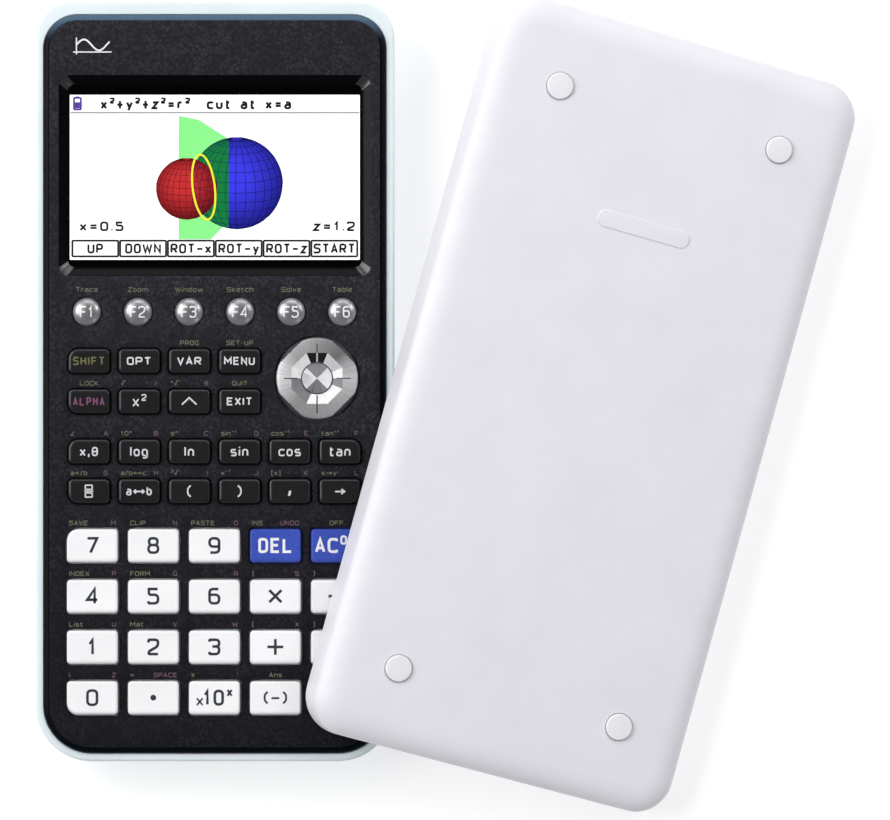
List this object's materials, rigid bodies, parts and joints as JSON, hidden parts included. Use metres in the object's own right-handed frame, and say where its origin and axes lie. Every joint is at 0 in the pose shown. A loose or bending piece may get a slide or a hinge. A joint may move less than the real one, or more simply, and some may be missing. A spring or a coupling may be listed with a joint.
{
  "type": "graphing calculator",
  "caption": "Handheld graphing calculator with a colour display, pressable keys and rocking pad, and a slide-on hard cover leaning on its lower right.",
  "frame": {"origin": "middle of the calculator's flat back, on the surface that it lies on", "axes": "+X right across the keys, +Y up towards the display, +Z out of the face"},
  "size_m": [0.2039, 0.2027, 0.0315],
  "materials": {
    "white_shell": "satin moulded plastic",
    "cover_shell": "fine matt moulded plastic",
    "black_face": "fine textured plastic",
    "window": "polished, clear over the display",
    "display": "colour display module",
    "white_key": "satin moulded plastic with printed legends",
    "blue_key": "satin moulded plastic with printed legends",
    "black_key": "glossy moulded plastic with printed legends",
    "silver_key": "metallised plastic",
    "board": "lacquered circuit board",
    "rubber": "matt silicone rubber",
    "cell": "plain cell sleeve"
  },
  "bodies": {
    "calculator": {"rear_case": "white_shell", "face_plate": "black_face", "display_window": "window", "display_panel": "display", "main_board": "board", "rubber_keypad": "rubber", "cell_1": "cell", "cell_2": "cell", "cell_3": "cell", "cell_4": "cell"},
    "cover": {"slide_cover": "cover_shell"},
    "door": {"battery_door": "white_shell"},
    "carrier": {"pad_carrier": "rubber"},
    "pad": {"pad_cap": "silver_key"},
    "f1_key": {"key_f1": "silver_key"},
    "f2_key": {"key_f2": "silver_key"},
    "f3_key": {"key_f3": "silver_key"},
    "f4_key": {"key_f4": "silver_key"},
    "f5_key": {"key_f5": "silver_key"},
    "f6_key": {"key_f6": "silver_key"},
    "shift_key": {"key_shift": "black_key"},
    "options_key": {"key_options": "black_key"},
    "variables_key": {"key_variables": "black_key"},
    "menu_key": {"key_menu": "black_key"},
    "alpha_key": {"key_alpha": "black_key"},
    "square_key": {"key_square": "black_key"},
    "power_key": {"key_power": "black_key"},
    "exit_key": {"key_exit": "black_key"},
    "angle_key": {"key_angle": "black_key"},
    "log_key": {"key_log": "black_key"},
    "natural_log_key": {"key_natural_log": "black_key"},
    "sine_key": {"key_sine": "black_key"},
    "cosine_key": {"key_cosine": "black_key"},
    "tangent_key": {"key_tangent": "black_key"},
    "fraction_key": {"key_fraction": "black_key"},
    "decimal_key": {"key_decimal": "black_key"},
    "left_bracket_key": {"key_left_bracket": "black_key"},
    "right_bracket_key": {"key_right_bracket": "black_key"},
    "comma_key": {"key_comma": "black_key"},
    "store_key": {"key_store": "black_key"},
    "seven_key": {"key_seven": "white_key"},
    "eight_key": {"key_eight": "white_key"},
    "nine_key": {"key_nine": "white_key"},
    "delete_key": {"key_delete": "blue_key"},
    "all_clear_key": {"key_all_clear": "blue_key"},
    "four_key": {"key_four": "white_key"},
    "five_key": {"key_five": "white_key"},
    "six_key": {"key_six": "white_key"},
    "multiply_key": {"key_multiply": "white_key"},
    "divide_key": {"key_divide": "white_key"},
    "one_key": {"key_one": "white_key"},
    "two_key": {"key_two": "white_key"},
    "three_key": {"key_three": "white_key"},
    "plus_key": {"key_plus": "white_key"},
    "minus_key": {"key_minus": "white_key"},
    "zero_key": {"key_zero": "white_key"},
    "point_key": {"key_point": "white_key"},
    "exponent_key": {"key_exponent": "white_key"},
    "negative_key": {"key_negative": "white_key"},
    "execute_key": {"key_execute": "white_key"}
  },
  "joints": [
    {"name": "cover_slide", "type": "slide", "parent": "calculator", "child": "cover", "axis": [0.2672, 0.9636, 0], "range_m": [0, 0.19]},
    {"name": "battery_door_swing", "type": "hinge", "parent": "calculator", "child": "door", "pos_m": [0, -0.02755, 0], "axis": [1, 0, 0], "range_deg": [0, 60]},
    {"name": "pad_tilt_up_down", "type": "hinge", "parent": "calculator", "child": "carrier", "pos_m": [0.02541, 0.0007, 0.0155], "axis": [1, 0, 0], "range_deg": [-3, 3], "stiffness_Nm_per_rad": 0.06, "deforming": ["rubber_keypad"]},
    {"name": "pad_tilt_left_right", "type": "hinge", "parent": "carrier", "child": "pad", "pos_m": [0.02541, 0.0007, 0.0155], "axis": [0, 1, 0], "range_deg": [-3, 3], "stiffness_Nm_per_rad": 0.06},
    {"name": "f1_press", "type": "slide", "parent": "calculator", "child": "f1_key", "axis": [0, 0, -1], "range_m": [0, 0.001], "stiffness_N_per_m": 500, "springref_m": -0.0006, "deforming": ["rubber_keypad"]},
    {"name": "f2_press", "type": "slide", "parent": "calculator", "child": "f2_key", "axis": [0, 0, -1], "range_m": [0, 0.001], "stiffness_N_per_m": 500, "springref_m": -0.0006, "deforming": ["rubber_keypad"]},
    {"name": "f3_press", "type": "slide", "parent": "calculator", "child": "f3_key", "axis": [0, 0, -1], "range_m": [0, 0.001], "stiffness_N_per_m": 500, "springref_m": -0.0006, "deforming": ["rubber_keypad"]},
    {"name": "f4_press", "type": "slide", "parent": "calculator", "child": "f4_key", "axis": [0, 0, -1], "range_m": [0, 0.001], "stiffness_N_per_m": 500, "springref_m": -0.0006, "deforming": ["rubber_keypad"]},
    {"name": "f5_press", "type": "slide", "parent": "calculator", "child": "f5_key", "axis": [0, 0, -1], "range_m": [0, 0.001], "stiffness_N_per_m": 500, "springref_m": -0.0006, "deforming": ["rubber_keypad"]},
    {"name": "f6_press", "type": "slide", "parent": "calculator", "child": "f6_key", "axis": [0, 0, -1], "range_m": [0, 0.001], "stiffness_N_per_m": 500, "springref_m": -0.0006, "deforming": ["rubber_keypad"]},
    {"name": "shift_press", "type": "slide", "parent": "calculator", "child": "shift_key", "axis": [0, 0, -1], "range_m": [0, 0.001], "stiffness_N_per_m": 500, "springref_m": -0.0006, "deforming": ["rubber_keypad"]},
    {"name": "options_press", "type": "slide", "parent": "calculator", "child": "options_key", "axis": [0, 0, -1], "range_m": [0, 0.001], "stiffness_N_per_m": 500, "springref_m": -0.0006, "deforming": ["rubber_keypad"]},
    {"name": "variables_press", "type": "slide", "parent": "calculator", "child": "variables_key", "axis": [0, 0, -1], "range_m": [0, 0.001], "stiffness_N_per_m": 500, "springref_m": -0.0006, "deforming": ["rubber_keypad"]},
    {"name": "menu_press", "type": "slide", "parent": "calculator", "child": "menu_key", "axis": [0, 0, -1], "range_m": [0, 0.001], "stiffness_N_per_m": 500, "springref_m": -0.0006, "deforming": ["rubber_keypad"]},
    {"name": "alpha_press", "type": "slide", "parent": "calculator", "child": "alpha_key", "axis": [0, 0, -1], "range_m": [0, 0.001], "stiffness_N_per_m": 500, "springref_m": -0.0006, "deforming": ["rubber_keypad"]},
    {"name": "square_press", "type": "slide", "parent": "calculator", "child": "square_key", "axis": [0, 0, -1], "range_m": [0, 0.001], "stiffness_N_per_m": 500, "springref_m": -0.0006, "deforming": ["rubber_keypad"]},
    {"name": "power_press", "type": "slide", "parent": "calculator", "child": "power_key", "axis": [0, 0, -1], "range_m": [0, 0.001], "stiffness_N_per_m": 500, "springref_m": -0.0006, "deforming": ["rubber_keypad"]},
    {"name": "exit_press", "type": "slide", "parent": "calculator", "child": "exit_key", "axis": [0, 0, -1], "range_m": [0, 0.001], "stiffness_N_per_m": 500, "springref_m": -0.0006, "deforming": ["rubber_keypad"]},
    {"name": "angle_press", "type": "slide", "parent": "calculator", "child": "angle_key", "axis": [0, 0, -1], "range_m": [0, 0.001], "stiffness_N_per_m": 500, "springref_m": -0.0006, "deforming": ["rubber_keypad"]},
    {"name": "log_press", "type": "slide", "parent": "calculator", "child": "log_key", "axis": [0, 0, -1], "range_m": [0, 0.001], "stiffness_N_per_m": 500, "springref_m": -0.0006, "deforming": ["rubber_keypad"]},
    {"name": "natural_log_press", "type": "slide", "parent": "calculator", "child": "natural_log_key", "axis": [0, 0, -1], "range_m": [0, 0.001], "stiffness_N_per_m": 500, "springref_m": -0.0006, "deforming": ["rubber_keypad"]},
    {"name": "sine_press", "type": "slide", "parent": "calculator", "child": "sine_key", "axis": [0, 0, -1], "range_m": [0, 0.001], "stiffness_N_per_m": 500, "springref_m": -0.0006, "deforming": ["rubber_keypad"]},
    {"name": "cosine_press", "type": "slide", "parent": "calculator", "child": "cosine_key", "axis": [0, 0, -1], "range_m": [0, 0.001], "stiffness_N_per_m": 500, "springref_m": -0.0006, "deforming": ["rubber_keypad"]},
    {"name": "tangent_press", "type": "slide", "parent": "calculator", "child": "tangent_key", "axis": [0, 0, -1], "range_m": [0, 0.001], "stiffness_N_per_m": 500, "springref_m": -0.0006, "deforming": ["rubber_keypad"]},
    {"name": "fraction_press", "type": "slide", "parent": "calculator", "child": "fraction_key", "axis": [0, 0, -1], "range_m": [0, 0.001], "stiffness_N_per_m": 500, "springref_m": -0.0006, "deforming": ["rubber_keypad"]},
    {"name": "decimal_press", "type": "slide", "parent": "calculator", "child": "decimal_key", "axis": [0, 0, -1], "range_m": [0, 0.001], "stiffness_N_per_m": 500, "springref_m": -0.0006, "deforming": ["rubber_keypad"]},
    {"name": "left_bracket_press", "type": "slide", "parent": "calculator", "child": "left_bracket_key", "axis": [0, 0, -1], "range_m": [0, 0.001], "stiffness_N_per_m": 500, "springref_m": -0.0006, "deforming": ["rubber_keypad"]},
    {"name": "right_bracket_press", "type": "slide", "parent": "calculator", "child": "right_bracket_key", "axis": [0, 0, -1], "range_m": [0, 0.001], "stiffness_N_per_m": 500, "springref_m": -0.0006, "deforming": ["rubber_keypad"]},
    {"name": "comma_press", "type": "slide", "parent": "calculator", "child": "comma_key", "axis": [0, 0, -1], "range_m": [0, 0.001], "stiffness_N_per_m": 500, "springref_m": -0.0006, "deforming": ["rubber_keypad"]},
    {"name": "store_press", "type": "slide", "parent": "calculator", "child": "store_key", "axis": [0, 0, -1], "range_m": [0, 0.001], "stiffness_N_per_m": 500, "springref_m": -0.0006, "deforming": ["rubber_keypad"]},
    {"name": "seven_press", "type": "slide", "parent": "calculator", "child": "seven_key", "axis": [0, 0, -1], "range_m": [0, 0.001], "stiffness_N_per_m": 500, "springref_m": -0.0006, "deforming": ["rubber_keypad"]},
    {"name": "eight_press", "type": "slide", "parent": "calculator", "child": "eight_key", "axis": [0, 0, -1], "range_m": [0, 0.001], "stiffness_N_per_m": 500, "springref_m": -0.0006, "deforming": ["rubber_keypad"]},
    {"name": "nine_press", "type": "slide", "parent": "calculator", "child": "nine_key", "axis": [0, 0, -1], "range_m": [0, 0.001], "stiffness_N_per_m": 500, "springref_m": -0.0006, "deforming": ["rubber_keypad"]},
    {"name": "delete_press", "type": "slide", "parent": "calculator", "child": "delete_key", "axis": [0, 0, -1], "range_m": [0, 0.001], "stiffness_N_per_m": 500, "springref_m": -0.0006, "deforming": ["rubber_keypad"]},
    {"name": "all_clear_press", "type": "slide", "parent": "calculator", "child": "all_clear_key", "axis": [0, 0, -1], "range_m": [0, 0.001], "stiffness_N_per_m": 500, "springref_m": -0.0006, "deforming": ["rubber_keypad"]},
    {"name": "four_press", "type": "slide", "parent": "calculator", "child": "four_key", "axis": [0, 0, -1], "range_m": [0, 0.001], "stiffness_N_per_m": 500, "springref_m": -0.0006, "deforming": ["rubber_keypad"]},
    {"name": "five_press", "type": "slide", "parent": "calculator", "child": "five_key", "axis": [0, 0, -1], "range_m": [0, 0.001], "stiffness_N_per_m": 500, "springref_m": -0.0006, "deforming": ["rubber_keypad"]},
    {"name": "six_press", "type": "slide", "parent": "calculator", "child": "six_key", "axis": [0, 0, -1], "range_m": [0, 0.001], "stiffness_N_per_m": 500, "springref_m": -0.0006, "deforming": ["rubber_keypad"]},
    {"name": "multiply_press", "type": "slide", "parent": "calculator", "child": "multiply_key", "axis": [0, 0, -1], "range_m": [0, 0.001], "stiffness_N_per_m": 500, "springref_m": -0.0006, "deforming": ["rubber_keypad"]},
    {"name": "divide_press", "type": "slide", "parent": "calculator", "child": "divide_key", "axis": [0, 0, -1], "range_m": [0, 0.001], "stiffness_N_per_m": 500, "springref_m": -0.0006, "deforming": ["rubber_keypad"]},
    {"name": "one_press", "type": "slide", "parent": "calculator", "child": "one_key", "axis": [0, 0, -1], "range_m": [0, 0.001], "stiffness_N_per_m": 500, "springref_m": -0.0006, "deforming": ["rubber_keypad"]},
    {"name": "two_press", "type": "slide", "parent": "calculator", "child": "two_key", "axis": [0, 0, -1], "range_m": [0, 0.001], "stiffness_N_per_m": 500, "springref_m": -0.0006, "deforming": ["rubber_keypad"]},
    {"name": "three_press", "type": "slide", "parent": "calculator", "child": "three_key", "axis": [0, 0, -1], "range_m": [0, 0.001], "stiffness_N_per_m": 500, "springref_m": -0.0006, "deforming": ["rubber_keypad"]},
    {"name": "plus_press", "type": "slide", "parent": "calculator", "child": "plus_key", "axis": [0, 0, -1], "range_m": [0, 0.001], "stiffness_N_per_m": 500, "springref_m": -0.0006, "deforming": ["rubber_keypad"]},
    {"name": "minus_press", "type": "slide", "parent": "calculator", "child": "minus_key", "axis": [0, 0, -1], "range_m": [0, 0.001], "stiffness_N_per_m": 500, "springref_m": -0.0006, "deforming": ["rubber_keypad"]},
    {"name": "zero_press", "type": "slide", "parent": "calculator", "child": "zero_key", "axis": [0, 0, -1], "range_m": [0, 0.001], "stiffness_N_per_m": 500, "springref_m": -0.0006, "deforming": ["rubber_keypad"]},
    {"name": "point_press", "type": "slide", "parent": "calculator", "child": "point_key", "axis": [0, 0, -1], "range_m": [0, 0.001], "stiffness_N_per_m": 500, "springref_m": -0.0006, "deforming": ["rubber_keypad"]},
    {"name": "exponent_press", "type": "slide", "parent": "calculator", "child": "exponent_key", "axis": [0, 0, -1], "range_m": [0, 0.001], "stiffness_N_per_m": 500, "springref_m": -0.0006, "deforming": ["rubber_keypad"]},
    {"name": "negative_press", "type": "slide", "parent": "calculator", "child": "negative_key", "axis": [0, 0, -1], "range_m": [0, 0.001], "stiffness_N_per_m": 500, "springref_m": -0.0006, "deforming": ["rubber_keypad"]},
    {"name": "execute_press", "type": "slide", "parent": "calculator", "child": "execute_key", "axis": [0, 0, -1], "range_m": [0, 0.001], "stiffness_N_per_m": 500, "springref_m": -0.0006, "deforming": ["rubber_keypad"]}
  ]
}
